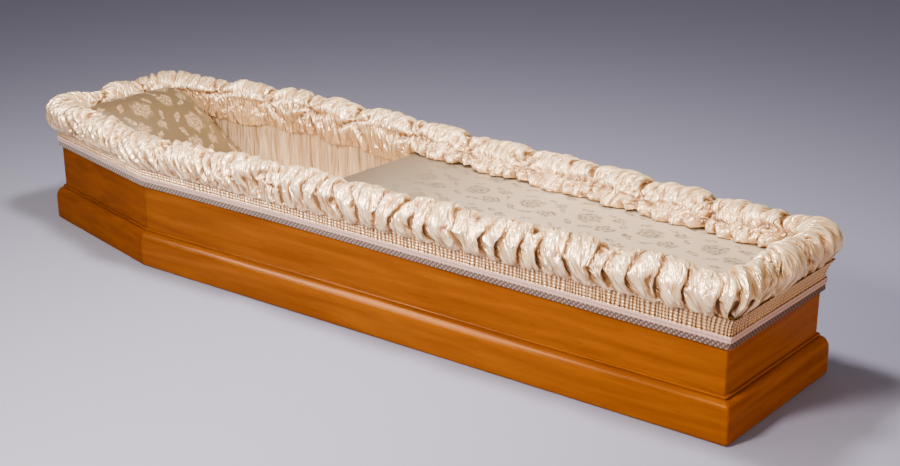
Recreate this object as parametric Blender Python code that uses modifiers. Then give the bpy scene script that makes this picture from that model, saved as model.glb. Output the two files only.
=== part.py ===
"""Open wooden coffin: a mitred six-sided carcase on a moulded plinth, lined with gathered satin.

Metres, +Z up. +X runs from the head to the foot and -Y is the right-hand side of whoever lies in it.
The origin is on the floor, under the middle of the carcase. The carcase is described by its plan:
an outline through the outer faces of the boards, from which every piece is offset.
"""

import math

import bmesh
import bpy
from mathutils import Vector

# Carcase, measured over the outer faces of its boards
BODY_LENGTH = 1.960
HEAD_WIDTH = 0.365
SHOULDER_WIDTH = 0.531
FOOT_WIDTH = 0.369
SHOULDER_FROM_HEAD = 0.4335
RIM_HEIGHT = 0.300
WALL_THICKNESS = 0.018
BOTTOM_THICKNESS = 0.018
CORNER_RADIUS = 0.004

# Plinth moulding round the foot of the carcase: depths are out from the boards
PLINTH_HEIGHT = 0.0925
PLINTH_DEPTH = 0.021
PLINTH_TOE_RADIUS = 0.008
PLINTH_BEAD = 0.005
PLINTH_QUIRK_DEPTH = 0.0035
PLINTH_QUIRK_HEIGHT = 0.0015
PLINTH_FILLET_DEPTH = 0.006
PLINTH_OVOLO_HEIGHT = 0.030

# Satin lining of the walls, and the mattress on the bottom board
LINING_THICKNESS = 0.004
LINING_BELOW_RIM = 0.015
MATTRESS_THICKNESS = 0.028
MATTRESS_ROUNDING = 0.007

# Padded ruffle over the rim: a roll, a shirred skirt outside and a swagged valance inside
ROLL_OUTWARD = 0.003
ROLL_BELOW_RIM = 0.011
ROLL_HALF_WIDTH = 0.037
ROLL_HALF_HEIGHT = 0.043
ROLL_START, ROLL_END = 196, -50
SHIRRING_BELOW_RIM = 0.056
SHIRRING_DEPTH = 0.006
SKIRT_LENGTH = 0.101
VALANCE_THICKNESS = 0.006
VALANCE_LENGTH = 0.094
SWAG_RISE = 0.030
COVERED_SWAG_RISE = 0.008
GATHER_SPACING = 0.165
STATIONS_PER_GATHER = 6
PUFF_HEIGHT = 0.0035
PUFF_DEPTH = 0.003
OUTER_CORNER_SOFTENING = 0.22
CORNER_SOFTENING_LENGTH = 0.060

# Lace braid sewn over the hem of the skirt
LACE_BELOW_HEM = 0.006
LACE_WIDTH = 0.024
LACE_THICKNESS = 0.0022

# Coverlet, stretched between the walls over the legs
COVERLET_BELOW_RIM = 0.040
COVERLET_THICKNESS = 0.014
COVERLET_FROM_HEAD = 0.880
COVERLET_ROUNDING = 0.005
VALANCE_LIFT = 0.0012
HEM_LIFT_LENGTH = 0.070
HEM_LIFT_CLEARANCE = 0.036

# Pillow: its head end lies flat and the rest slopes down to the mattress
PILLOW_LENGTH = 0.372
PILLOW_THICKNESS = 0.110
PILLOW_SLOPE = math.radians(46)
PILLOW_BEND_LENGTH = 0.145
PILLOW_EDGE_SHARE = 0.55
PILLOW_WAIST = 0.008
PILLOW_SIDE_GAP = 0.004

# Pieces that touch keep this gap
GAP = 0.0003

HEAD_RIGHT, SHOULDER_RIGHT, FOOT_RIGHT, FOOT_LEFT, SHOULDER_LEFT, HEAD_LEFT = range(6)
SIDE_NAMES = ("shoulder_right", "side_right", "foot", "side_left", "shoulder_left", "head")

WOOD = ("stained_beech", (0.42, 0.13, 0.012), 0.32)
RAW_WOOD = ("plain_board", (0.50, 0.31, 0.15), 0.70)
SATIN = ("cream_satin", (0.80, 0.66, 0.47), 0.35)
PILLOW_CLOTH = ("gold_brocade", (0.41, 0.29, 0.14), 0.45)
COVERLET_CLOTH = ("cream_brocade", (0.72, 0.65, 0.54), 0.45)
LACE = ("lilac_lace", (0.70, 0.60, 0.66), 0.60)


def clear_scene():
    for obj in list(bpy.data.objects):
        bpy.data.objects.remove(obj, do_unlink=True)


def new_collection(name):
    collection = bpy.data.collections.new(name)
    bpy.context.scene.collection.children.link(collection)
    return collection


def finish(finish_values):
    name, colour, roughness = finish_values
    material = bpy.data.materials.get(name)
    if material is None:
        material = bpy.data.materials.new(name)
        material.use_nodes = True
        shader = material.node_tree.nodes["Principled BSDF"]
        shader.inputs["Base Color"].default_value = (*colour, 1.0)
        shader.inputs["Roughness"].default_value = roughness
        shader.inputs["Metallic"].default_value = 0.0
        material.diffuse_color = (*colour, 1.0)
    return material


def add_object(name, data, finish_values):
    obj = bpy.data.objects.new(name, data)
    data.materials.append(finish(finish_values))
    COFFIN.objects.link(obj)
    return obj


# Plan of the carcase


def plan_corners():
    """The six corners of the carcase over its boards, counterclockwise from the head's right corner."""
    head_x = -BODY_LENGTH / 2
    shoulder_x = head_x + SHOULDER_FROM_HEAD
    foot_x = BODY_LENGTH / 2
    right = [
        Vector((head_x, -HEAD_WIDTH / 2)),
        Vector((shoulder_x, -SHOULDER_WIDTH / 2)),
        Vector((foot_x, -FOOT_WIDTH / 2)),
    ]
    left = [Vector((corner.x, -corner.y)) for corner in reversed(right)]
    return right + left


def side_direction(side):
    corners = plan_corners()
    return (corners[(side + 1) % 6] - corners[side]).normalized()


def side_normal(side):
    """Points out of the carcase."""
    along = side_direction(side)
    return Vector((along.y, -along.x))


def side_length(side):
    corners = plan_corners()
    return (corners[(side + 1) % 6] - corners[side]).length


def offset_corner(corner, out):
    """A corner of the plan moved out by the same distance from both of its sides."""
    before, after = side_normal((corner - 1) % 6), side_normal(corner)
    bisector = (before + after).normalized()
    return plan_corners()[corner] + bisector * (out / bisector.dot(after))


def offset_plan(out):
    return [offset_corner(corner, out) for corner in range(6)]


def turned(direction, angle):
    cosine, sine = math.cos(angle), math.sin(angle)
    return Vector((direction.x * cosine - direction.y * sine, direction.x * sine + direction.y * cosine))


def corner_turn(corner):
    """How far the outline turns at this corner."""
    return side_direction((corner - 1) % 6).angle(side_direction(corner))


def mitre_trim(corner):
    """How much shorter a length is at this corner, so that the mitre joint keeps its gap."""
    return GAP / 2 / math.cos(corner_turn(corner) / 2)


def rounded_end(side, corner, out, radius, steps=3):
    """Points round half of a corner, from its mitre to the straight of this side."""
    centre = offset_corner(corner, out - radius)
    half_turn = corner_turn(corner) / 2
    towards_mitre = -half_turn if corner == side else half_turn
    inwards = side_direction(side) * (mitre_trim(corner) if corner == side else -mitre_trim(corner))
    normal = side_normal(side)
    angles = [towards_mitre * (1 - step / steps) for step in range(steps + 1)]
    return [centre + turned(normal, angle) * radius + inwards for angle in angles]


def square_end(side, corner, out, radius, steps=3):
    """Points along a hidden face, as many as rounded_end gives and beside them."""
    tangent_length = radius * math.tan(corner_turn(corner) / 2)
    inwards = side_direction(side) * (1 if corner == side else -1)
    start = offset_corner(corner, out) + inwards * mitre_trim(corner)
    return [start + inwards * tangent_length * step / steps for step in range(steps + 1)]


# Ways of making a piece


def plate(name, outlines, low, high, finish_values, edge=0.0):
    """A flat piece between two heights. The first outline is its rim and a second one is its hole."""
    curve = bpy.data.curves.new(name, "CURVE")
    curve.dimensions = "2D"
    curve.fill_mode = "BOTH"
    curve.extrude = (high - low) / 2 - edge
    curve.bevel_depth = edge
    curve.bevel_resolution = 2
    for outline in outlines:
        spline = curve.splines.new("POLY")
        spline.points.add(len(outline) - 1)
        for point, corner in zip(spline.points, outline):
            point.co = (corner.x, corner.y, 0.0, 1.0)
        spline.use_cyclic_u = True
    obj = add_object(name, curve, finish_values)
    obj.location.z = (low + high) / 2
    return obj


def loft(name, rings, closed, finish_values):
    """A skin over rings of points, which all have as many points. An open row of rings gets end faces."""
    mesh = bpy.data.meshes.new(name)
    shape = bmesh.new()
    rows = [[shape.verts.new(point) for point in ring] for ring in rings]
    spans = zip(rows, rows[1:] + rows[:1]) if closed else zip(rows, rows[1:])
    for first, second in spans:
        for index in range(len(first)):
            after = (index + 1) % len(first)
            shape.faces.new((first[index], first[after], second[after], second[index]))
    if not closed:
        shape.faces.new(rows[0])
        shape.faces.new(reversed(rows[-1]))
    bmesh.ops.recalc_face_normals(shape, faces=shape.faces)
    shape.to_mesh(mesh)
    shape.free()
    return add_object(name, mesh, finish_values)


def shade_round(obj, angle=math.radians(35)):
    obj.data.shade_smooth()
    obj.data.set_sharp_from_angle(angle=angle)


# Carcase


def board_plan(side):
    """Plan of one wall board, mitred at both ends and softened at its outer corners."""
    near, far = side, (side + 1) % 6
    outer = rounded_end(side, near, 0.0, CORNER_RADIUS)
    outer += reversed(rounded_end(side, far, 0.0, CORNER_RADIUS))
    along = side_direction(side)
    inner_far = offset_corner(far, -WALL_THICKNESS) - along * mitre_trim(far)
    inner_near = offset_corner(near, -WALL_THICKNESS) + along * mitre_trim(near)
    return outer + [inner_far, inner_near]


def build_carcase():
    plate("bottom_board", [offset_plan(0.0)], 0.0, BOTTOM_THICKNESS, RAW_WOOD)
    for side, name in enumerate(SIDE_NAMES):
        plate("board_" + name, [board_plan(side)], BOTTOM_THICKNESS + GAP, RIM_HEIGHT, WOOD)


def arc(centre, radius, start, end, steps):
    """Points of an arc in a profile, as (out, height), with its angles in degrees."""
    angles = [math.radians(start + (end - start) * step / steps) for step in range(steps + 1)]
    return [(centre[0] + radius * math.cos(a), centre[1] + radius * math.sin(a)) for a in angles]


def plinth_profile():
    """Visible face of the moulding from the floor up: toe, face, ovolo, fillet, quirk and bead."""
    toe_centre = (PLINTH_DEPTH - PLINTH_TOE_RADIUS, PLINTH_TOE_RADIUS)
    toe = arc(toe_centre, PLINTH_TOE_RADIUS, -75, 0, 5)
    quirk_top = PLINTH_HEIGHT - PLINTH_BEAD
    quirk_floor = quirk_top - PLINTH_QUIRK_HEIGHT
    ovolo_width = PLINTH_DEPTH - PLINTH_FILLET_DEPTH
    ovolo_start = quirk_floor - PLINTH_OVOLO_HEIGHT
    ovolo = [
        (PLINTH_FILLET_DEPTH + ovolo_width * out, ovolo_start + PLINTH_OVOLO_HEIGHT * up)
        for out, up in arc((0.0, 0.0), 1.0, 0, 90, 8)
    ]
    quirk = [(PLINTH_QUIRK_DEPTH, quirk_floor), (PLINTH_QUIRK_DEPTH, quirk_top)]
    bead_radius = PLINTH_BEAD / 2
    bead = arc((PLINTH_QUIRK_DEPTH, PLINTH_HEIGHT - bead_radius), bead_radius, -45, 80, 5)
    return toe + ovolo + quirk + bead


def build_plinth():
    back = PLINTH_DEPTH - PLINTH_TOE_RADIUS
    hidden = [(GAP, PLINTH_HEIGHT), (GAP, 0.0), (back, 0.0)]
    for side, name in enumerate(SIDE_NAMES):
        near, far = side, (side + 1) % 6
        columns = []
        for out, height in plinth_profile():
            ends = rounded_end(side, near, out, CORNER_RADIUS)
            ends += reversed(rounded_end(side, far, out, CORNER_RADIUS))
            columns.append([(*point, height) for point in ends])
        for out, height in hidden:
            ends = square_end(side, near, out, CORNER_RADIUS)
            ends += reversed(square_end(side, far, out, CORNER_RADIUS))
            columns.append([(*point, height) for point in ends])
        shade_round(loft("plinth_" + name, list(zip(*columns)), False, WOOD))


# Lining


def lined_face():
    """How far in the lined wall is, from the outer face of the boards."""
    return -WALL_THICKNESS - LINING_THICKNESS - 2 * GAP


def build_lining():
    """The satin on the walls and the mattress between them. Gives the height of the mattress."""
    outside = -WALL_THICKNESS - GAP
    inside = outside - LINING_THICKNESS
    floor = BOTTOM_THICKNESS + GAP
    outlines = [offset_plan(outside), offset_plan(inside)]
    plate("wall_lining", outlines, floor, RIM_HEIGHT - LINING_BELOW_RIM, SATIN)
    pad_outline = offset_plan(lined_face() - MATTRESS_ROUNDING)
    pad_top = floor + MATTRESS_THICKNESS
    plate("mattress", [pad_outline], floor, pad_top, SATIN, edge=MATTRESS_ROUNDING)
    return pad_top


def coverlet_top():
    return RIM_HEIGHT - COVERLET_BELOW_RIM


def coverlet_edge_x():
    return -BODY_LENGTH / 2 + COVERLET_FROM_HEAD


def half_width_at(x, out):
    """Half the width of the plan at x, offset by out."""
    head, shoulder, foot = (offset_corner(c, out) for c in (HEAD_LEFT, SHOULDER_LEFT, FOOT_LEFT))
    near, far = (head, shoulder) if x < shoulder.x else (shoulder, foot)
    return near.y + (far.y - near.y) * (x - near.x) / (far.x - near.x)


def build_coverlet():
    """A thin quilt from wall to wall, tacked along the lined sides and the foot."""
    out = lined_face() - COVERLET_ROUNDING
    edge_x = coverlet_edge_x() + COVERLET_ROUNDING
    right = [Vector((edge_x, -half_width_at(edge_x, out))), offset_corner(FOOT_RIGHT, out)]
    if edge_x < offset_corner(SHOULDER_RIGHT, out).x:
        right.insert(1, offset_corner(SHOULDER_RIGHT, out))
    left = [Vector((corner.x, -corner.y)) for corner in reversed(right)]
    low = coverlet_top() - COVERLET_THICKNESS
    plate("coverlet", [right + left], low, coverlet_top(), COVERLET_CLOTH, edge=COVERLET_ROUNDING)


def smooth_step(value):
    value = min(max(value, 0.0), 1.0)
    return value * value * (3 - 2 * value)


def hem_height(x, fullness):
    """Lowest edge of the valance: it hangs free by the pillow and lies on the coverlet past its edge."""
    hanging = RIM_HEIGHT - VALANCE_LENGTH + SWAG_RISE * (1 - fullness)
    resting = coverlet_top() + VALANCE_LIFT + COVERED_SWAG_RISE * (1 - fullness)
    lift_start = coverlet_edge_x() - HEM_LIFT_CLEARANCE - HEM_LIFT_LENGTH
    lift = smooth_step((x - lift_start) / HEM_LIFT_LENGTH)
    return hanging + (resting - hanging) * lift


def roll_centre_out():
    return -WALL_THICKNESS / 2 + ROLL_OUTWARD


def valance_face():
    return lined_face() - VALANCE_THICKNESS


def ruffle_section(x, fullness, puff, corner_share):
    """Points (out, height) of the ruffle across the rim, from the skirt's hem over the wall and back."""
    inner_face = -WALL_THICKNESS - GAP
    lining_top = RIM_HEIGHT - LINING_BELOW_RIM
    hem = hem_height(x, fullness)
    skirt_bottom = RIM_HEIGHT - SKIRT_LENGTH
    against_wall = [
        (GAP, skirt_bottom),
        (GAP, RIM_HEIGHT + GAP),
        (inner_face, RIM_HEIGHT + GAP),
        (inner_face, lining_top + GAP),
        (lined_face(), lining_top + GAP),
        (lined_face(), hem),
        (valance_face(), hem),
    ]
    half_width = ROLL_HALF_WIDTH - PUFF_DEPTH * (1 - puff)
    half_height = ROLL_HALF_HEIGHT - PUFF_HEIGHT * (1 - fullness)
    centre_height = RIM_HEIGHT - ROLL_BELOW_RIM
    shirring = GAP + SHIRRING_DEPTH
    softening = 1 - OUTER_CORNER_SOFTENING * corner_share
    roll = []
    for across, up in arc((0.0, 0.0), 1.0, ROLL_START, ROLL_END, 10):
        out = roll_centre_out() + half_width * across
        if out > shirring:
            out = shirring + (out - shirring) * softening
        roll.append((out, centre_height + half_height * up))
    skirt = [(shirring, RIM_HEIGHT - SHIRRING_BELOW_RIM), (shirring, skirt_bottom)]
    return against_wall + roll + skirt


def build_ruffle():
    """One padded ruffle round the whole rim, gathered at even tufts along every side."""
    rings = []
    for side in range(6):
        near, far = side, (side + 1) % 6
        length = side_length(side)
        gathers = max(1, round(length / GATHER_SPACING))
        stations = gathers * STATIONS_PER_GATHER
        for station in range(stations):
            share = station / stations
            phase = share * gathers
            fullness = abs(math.cos(math.pi * phase))
            puff = 0.5 + 0.5 * math.cos(4 * math.pi * phase)
            from_corner = min(share, 1 - share) * length
            turn = corner_turn(near if share < 0.5 else far) / (math.pi / 2)
            corner_share = turn * (1 - smooth_step(from_corner / CORNER_SOFTENING_LENGTH))
            x = plan_corners()[near].lerp(plan_corners()[far], share).x
            section = ruffle_section(x, fullness, puff, corner_share)
            ring = []
            for out, height in section:
                point = offset_corner(near, out).lerp(offset_corner(far, out), share)
                ring.append((*point, height))
            rings.append(ring)
    shade_round(loft("rim_ruffle", rings, True, SATIN), math.radians(60))


def build_lace():
    back = GAP + SHIRRING_DEPTH + GAP
    outlines = [offset_plan(back + LACE_THICKNESS), offset_plan(back)]
    low = RIM_HEIGHT - SKIRT_LENGTH - LACE_BELOW_HEM
    plate("lace_trim", outlines, low, low + LACE_WIDTH, LACE)


# Pillow


def lowest_world_point(obj, axis):
    bpy.context.view_layer.update()
    evaluated = obj.evaluated_get(bpy.context.evaluated_depsgraph_get())
    mesh = evaluated.to_mesh()
    lowest = min((evaluated.matrix_world @ vertex.co)[axis] for vertex in mesh.vertices)
    evaluated.to_mesh_clear()
    return lowest


def pillow_spine(distance, steps=24):
    """Point (x, z) and slope of the pillow's middle, this far from its head end."""
    x = z = slope = 0.0
    for step in range(steps):
        slope = PILLOW_SLOPE * smooth_step((step + 0.5) / steps * distance / PILLOW_BEND_LENGTH)
        x += distance / steps * math.cos(slope)
        z -= distance / steps * math.sin(slope)
    return x, z, slope


def build_pillow(resting_height):
    """A full cushion from side to side, set against the ruffle of the head and on the mattress."""
    by_roll = min(roll_centre_out() - ROLL_HALF_WIDTH, valance_face()) - PILLOW_SIDE_GAP
    by_valance = valance_face() - PILLOW_SIDE_GAP
    head_face_x = offset_corner(HEAD_LEFT, by_roll).x
    shape = bmesh.new()
    bmesh.ops.create_cube(shape, size=2.0)
    bmesh.ops.subdivide_edges(shape, edges=shape.edges, cuts=5, use_grid_fill=True)
    for vertex in shape.verts:
        along, across, through = vertex.co
        distance = (along + 1) / 2 * PILLOW_LENGTH
        x, z, slope = pillow_spine(distance)
        below_roll = smooth_step(distance / PILLOW_BEND_LENGTH - 1)
        side_face = by_roll + (by_valance - by_roll) * below_roll
        fullness = (1 - along**4) * (1 - across**4)
        crown = PILLOW_EDGE_SHARE + (1 - PILLOW_EDGE_SHARE) * fullness
        rise = through * crown * PILLOW_THICKNESS / 2
        half_width = half_width_at(head_face_x + x, side_face) - PILLOW_WAIST * (1 - along**2)
        vertex.co = (x + rise * math.sin(slope), across * half_width, z + rise * math.cos(slope))
    mesh = bpy.data.meshes.new("pillow")
    shape.to_mesh(mesh)
    shape.free()
    pillow = add_object("pillow", mesh, PILLOW_CLOTH)
    mesh.shade_smooth()
    rounding = pillow.modifiers.new("Rounding", "SUBSURF")
    rounding.levels = 1
    rounding.render_levels = 1
    pillow.location.x = head_face_x - lowest_world_point(pillow, 0)
    pillow.location.z = resting_height + GAP - lowest_world_point(pillow, 2)


clear_scene()
COFFIN = new_collection("coffin")
build_carcase()
build_plinth()
mattress_top = build_lining()
build_coverlet()
build_ruffle()
build_lace()
build_pillow(mattress_top)
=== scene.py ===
import math

import bmesh
import bpy
import numpy as np
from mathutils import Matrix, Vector


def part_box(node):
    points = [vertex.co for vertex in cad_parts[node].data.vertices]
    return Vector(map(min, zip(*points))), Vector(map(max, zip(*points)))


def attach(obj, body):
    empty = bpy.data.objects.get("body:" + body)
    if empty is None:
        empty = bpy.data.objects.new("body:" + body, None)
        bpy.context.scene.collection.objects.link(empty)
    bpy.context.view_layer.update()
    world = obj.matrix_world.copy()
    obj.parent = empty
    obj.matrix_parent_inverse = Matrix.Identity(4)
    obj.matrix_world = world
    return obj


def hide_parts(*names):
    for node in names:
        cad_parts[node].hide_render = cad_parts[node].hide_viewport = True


# The open wooden coffin of the photograph: lacquered boards and mouldings as they were joined, and
# over them the upholsterer's work, which is satin gathered over a padded roll, a shirred band, a
# lace braid, a pleated lining, a mattress, a brocade pillow and a brocade coverlet. Metres, +Z up,
# +X from the head to the foot.

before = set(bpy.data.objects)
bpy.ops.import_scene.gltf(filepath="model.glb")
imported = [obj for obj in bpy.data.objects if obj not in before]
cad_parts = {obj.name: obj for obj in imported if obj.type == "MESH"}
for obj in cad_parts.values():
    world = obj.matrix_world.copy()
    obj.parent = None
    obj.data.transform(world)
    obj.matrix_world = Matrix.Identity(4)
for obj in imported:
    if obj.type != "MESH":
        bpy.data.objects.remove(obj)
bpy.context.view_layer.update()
RANDOM = np.random.default_rng(7)


# Sizes read from the frame


def plan_of_boards():
    """The six corners over the boards, counterclockwise from the head's right corner."""
    points = {(round(v.co.x, 5), round(v.co.y, 5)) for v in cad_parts["bottom_board"].data.vertices}
    ordered = sorted(points, key=lambda p: math.atan2(p[1], p[0] + 0.3))
    start = ordered.index(min(p for p in points if p[1] < 0))
    return np.array(ordered[start:] + ordered[:start])


PLAN = plan_of_boards()
RIM_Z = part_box("board_foot")[1].z
LINING_LOW, LINING_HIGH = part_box("wall_lining")
HEM_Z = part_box("lace_trim")[0].z
COVERLET_LOW, COVERLET_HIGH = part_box("coverlet")
MATTRESS_LOW, MATTRESS_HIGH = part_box("mattress")
PILLOW_FOOT_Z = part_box("pillow")[0].z
# How far out of the boards the lining's face and the coverlet's edge lie: below 0 is inside
LINING_OUT = MATTRESS_HIGH.x - PLAN[2][0] + 0.0003
COVERLET_OUT = COVERLET_HIGH.x - PLAN[2][0]


# Going round the plan


def unit(vector):
    return vector / np.linalg.norm(vector)


SIDES = np.array([unit(PLAN[(i + 1) % 6] - PLAN[i]) for i in range(6)])
NORMALS = np.stack([SIDES[:, 1], -SIDES[:, 0]], -1)
BISECTORS = np.array([unit(NORMALS[i - 1] + NORMALS[i]) for i in range(6)])
STRETCH = np.array([1 / (BISECTORS[i] @ NORMALS[i]) for i in range(6)])


def turned(vector, angle):
    c, s = math.cos(angle), math.sin(angle)
    return np.array([vector[0] * c - vector[1] * s, vector[0] * s + vector[1] * c])


class Round:
    """Columns that stand round the plan: evenly along each side and round each corner."""

    def __init__(self, step, corner_step, out, radius):
        first, second, first_normal, second_normal, share = [], [], [], [], []
        for i in range(6):
            turn = 2 * math.acos(1 / STRETCH[i])
            count = max(2, round(turn * radius / corner_step))
            for n in range(count):
                normal = turned(BISECTORS[i], turn * ((n + 0.5) / count - 0.5))
                first.append(i), second.append(i), share.append(0.0)
                first_normal.append(normal), second_normal.append(normal)
            count = round(np.linalg.norm(PLAN[(i + 1) % 6] - PLAN[i]) / step)
            for n in range(count):
                first.append(i), second.append((i + 1) % 6), share.append((n + 0.5) / count)
                first_normal.append(NORMALS[i]), second_normal.append(NORMALS[i])
        self.first, self.second = np.array(first), np.array(second)
        self.first_normal, self.second_normal = np.array(first_normal), np.array(second_normal)
        self.share = np.array(share)
        self.count = len(share)
        line = self.at(np.full((self.count, 1), out), radius)[:, 0]
        gaps = np.linalg.norm(np.roll(line, -1, 0) - line, axis=1)
        self.total = gaps.sum()
        self.along = np.concatenate([[0.0], np.cumsum(gaps)[:-1]])
        self.x, self.y = line[:, 0], line[:, 1]

    def at(self, out, radius):
        """Plan points, by column and row, this far out of the boards and with corners of this radius."""
        radius = np.broadcast_to(radius, out.shape)

        def end(corner, normal):
            along = (out - radius) * STRETCH[corner][:, None]
            centre = PLAN[corner][:, None] + BISECTORS[corner][:, None] * along[..., None]
            return centre + normal[:, None] * radius[..., None]
        share = self.share[:, None, None]
        return end(self.first, self.first_normal) * (1 - share) + end(self.second, self.second_normal) * share


def out_of_boards(points):
    """How far points lie outside the boards in plan, below 0 inside, and which way is out."""
    away = np.einsum("pj,ij->pi", points[:, :2], NORMALS) - np.einsum("ij,ij->i", PLAN, NORMALS)
    side = away.argmax(1)
    return away[np.arange(len(points)), side], NORMALS[side]


# Skins of cloth


def skin(name, points, closed=True, flip=False):
    """A skin of four-sided faces over points given by column and row."""
    columns, rows = points.shape[:2]
    index = np.arange(columns * rows).reshape(columns, rows)
    here, after = (index, np.roll(index, -1, 0)) if closed else (index[:-1], index[1:])
    faces = np.stack([here[:, :-1], after[:, :-1], after[:, 1:], here[:, 1:]], -1).reshape(-1, 4)
    if flip:
        faces = faces[:, ::-1]
    mesh = bpy.data.meshes.new(name)
    mesh.vertices.add(columns * rows)
    mesh.vertices.foreach_set("co", points.astype(np.float32).ravel())
    mesh.loops.add(faces.size)
    mesh.loops.foreach_set("vertex_index", faces.astype(np.int32).ravel())
    mesh.polygons.add(len(faces))
    mesh.polygons.foreach_set("loop_start", np.arange(0, faces.size, 4, dtype=np.int32))
    mesh.update(calc_edges=True)
    mesh.validate()
    mesh.shade_smooth()
    obj = bpy.data.objects.new(name, mesh)
    bpy.context.scene.collection.objects.link(obj)
    return obj


def coordinates(mesh):
    points = np.empty(len(mesh.vertices) * 3, np.float32)
    mesh.vertices.foreach_get("co", points)
    return points.reshape(-1, 3).astype(float)


def set_coordinates(mesh, points):
    mesh.vertices.foreach_set("co", points.astype(np.float32).ravel())
    mesh.update()


def paint(obj, name, values):
    """Keeps a number for each point, which a material reads."""
    layer = obj.data.attributes.new(name, "FLOAT", "POINT")
    layer.data.foreach_set("value", values.astype(np.float32).ravel())


def finer(grid):
    """One subdivision of a ring of points, by column and row, as a subdivision surface makes it."""
    before, after = np.roll(grid, 1, 0), np.roll(grid, -1, 0)
    corner, middle = (before + 6 * grid + after) / 8, (grid + after) / 2
    columns = np.stack([corner, middle], 1).reshape(-1, *grid.shape[1:])
    corner = columns.copy()
    corner[:, 1:-1] = (columns[:, :-2] + 6 * columns[:, 1:-1] + columns[:, 2:]) / 8
    middle = (columns[:, :-1] + columns[:, 1:]) / 2
    rows = np.empty((columns.shape[0], 2 * columns.shape[1] - 1, *columns.shape[2:]))
    rows[:, ::2], rows[:, 1::2] = corner, middle
    return rows


def grid_normals(grid):
    """Normals of a ring of points, by column and row, pointing as its faces do."""
    along = np.roll(grid, -1, 0) - np.roll(grid, 1, 0)
    normal = np.cross(along, np.gradient(grid, axis=1))
    return normal / np.maximum(np.linalg.norm(normal, axis=-1, keepdims=True), 1e-12)


def blurred(values, times):
    """Values of a ring of points spread over their neighbours."""
    for _ in range(times):
        values = (np.roll(values, 1, 0) + 2 * values + np.roll(values, -1, 0)) / 4
        inner = (values[:, :-2] + 2 * values[:, 1:-1] + values[:, 2:]) / 4
        values = np.concatenate([values[:, :1], inner, values[:, -1:]], 1)
    return values


CLOTH_FRAMES = 20
CLOTH_STEPS = 5
CLOTH_MASS = 0.02
CLOTH_STIFFNESS = 15.0
CLOTH_DAMPING = 5
AIR_DRAG = 2


def settle(obj, spare, held, pressure, reach, bending=0.05):
    """Lets cloth that was cut larger than its place by the spare share find its own folds.

    Held points stay more or less, and no point moves further than reach.
    """
    start = coordinates(obj.data)
    group = obj.vertex_groups.new(name="held")
    for weight in np.unique(held[held > 0]):
        group.add(np.flatnonzero(held == weight).tolist(), float(weight), "REPLACE")
    cloth = obj.modifiers.new("Cloth", "CLOTH")
    cloth.settings.shrink_min = -spare
    cloth.settings.vertex_group_mass = "held"
    cloth.settings.quality = CLOTH_STEPS
    cloth.settings.mass = CLOTH_MASS
    cloth.settings.tension_stiffness = cloth.settings.compression_stiffness = CLOTH_STIFFNESS
    cloth.settings.shear_stiffness = CLOTH_STIFFNESS / 3
    cloth.settings.bending_stiffness = bending
    cloth.settings.tension_damping = cloth.settings.compression_damping = CLOTH_DAMPING
    cloth.settings.shear_damping = CLOTH_DAMPING
    cloth.settings.air_damping = AIR_DRAG
    cloth.settings.use_pressure = True
    cloth.settings.uniform_pressure_force = pressure
    cloth.settings.effector_weights.gravity = 0
    cloth.collision_settings.use_collision = False
    cloth.collision_settings.use_self_collision = False
    cloth.point_cache.frame_start, cloth.point_cache.frame_end = 1, CLOTH_FRAMES
    for number in range(1, CLOTH_FRAMES + 1):
        bpy.context.scene.frame_set(number)
    evaluated = obj.evaluated_get(bpy.context.evaluated_depsgraph_get())
    moved = coordinates(evaluated.to_mesh()) - start
    evaluated.to_mesh_clear()
    obj.modifiers.remove(cloth)
    obj.vertex_groups.clear()
    bpy.context.scene.frame_set(1)
    length = np.maximum(np.linalg.norm(moved, axis=1, keepdims=True), 1e-9)
    return start + moved / length * reach * np.tanh(length / reach)


def smooth_line(points, count):
    """Even points on a smooth line through the given ones."""
    points = np.array(points, float)
    padded = np.concatenate([[2 * points[0] - points[1]], points, [2 * points[-1] - points[-2]]])
    steps = np.linspace(0, len(points) - 1, 400)
    whole = np.minimum(steps.astype(int), len(points) - 2)
    t = (steps - whole)[:, None]
    a, b, c, d = (padded[whole + k] for k in range(4))
    line = 0.5 * (2 * b + (c - a) * t + (2 * a - 5 * b + 4 * c - d) * t ** 2
                  + (3 * b - a - 3 * c + d) * t ** 3)
    length = np.concatenate([[0], np.cumsum(np.linalg.norm(np.diff(line, axis=0), axis=1))])
    wanted = np.linspace(0, length[-1], count)
    return np.stack([np.interp(wanted, length, line[:, k]) for k in range(line.shape[1])], -1)


def eased(values):
    """From 0 to 1 with a soft start and end."""
    values = np.clip(values, 0, 1)
    return values * values * (3 - 2 * values)


def fold_phase(along, total, spacing):
    """A number that grows by one at each fold, with folds of uneven width."""
    places = [0.0]
    while places[-1] < total:
        places.append(places[-1] + float(spacing(places[-1])) * RANDOM.uniform(0.6, 1.45))
    places = np.array(places) * total / places[-1]
    laps = np.floor(along / total)
    return np.interp(along - laps * total, places, np.arange(len(places))) + laps * (len(places) - 1)


def wander(along, total, waves, size):
    """A slow, even wander that closes on itself round the plan."""
    result = np.zeros_like(along)
    for k in waves:
        result += np.sin(2 * np.pi * (k * along / total + RANDOM.uniform())) * size / math.sqrt(len(waves))
    return result


def ripples(along, total, level, length, height, size, count=12):
    """A smooth random height that closes on itself round the plan, with waves about this long and high."""
    result = 0.0
    for _ in range(count):
        laps = max(1, round(total / length * RANDOM.uniform(0.6, 1.4)))
        climb = RANDOM.uniform(-1.0, 1.0) / height
        result = result + np.sin(2 * np.pi * (laps * along / total + climb * level + RANDOM.uniform()))
    return result * size * math.sqrt(2 / count)


def between_columns(ring, values, last):
    """The values of the columns and those half way between them; the last one closes the ring."""
    return np.interp(np.arange(2 * ring.count) / 2, np.arange(ring.count + 1), [*values, last])[:, None]


HEM_FALL = 0.0065
HEM_FALLS_BETWEEN = [-0.15, 0.98]


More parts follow.
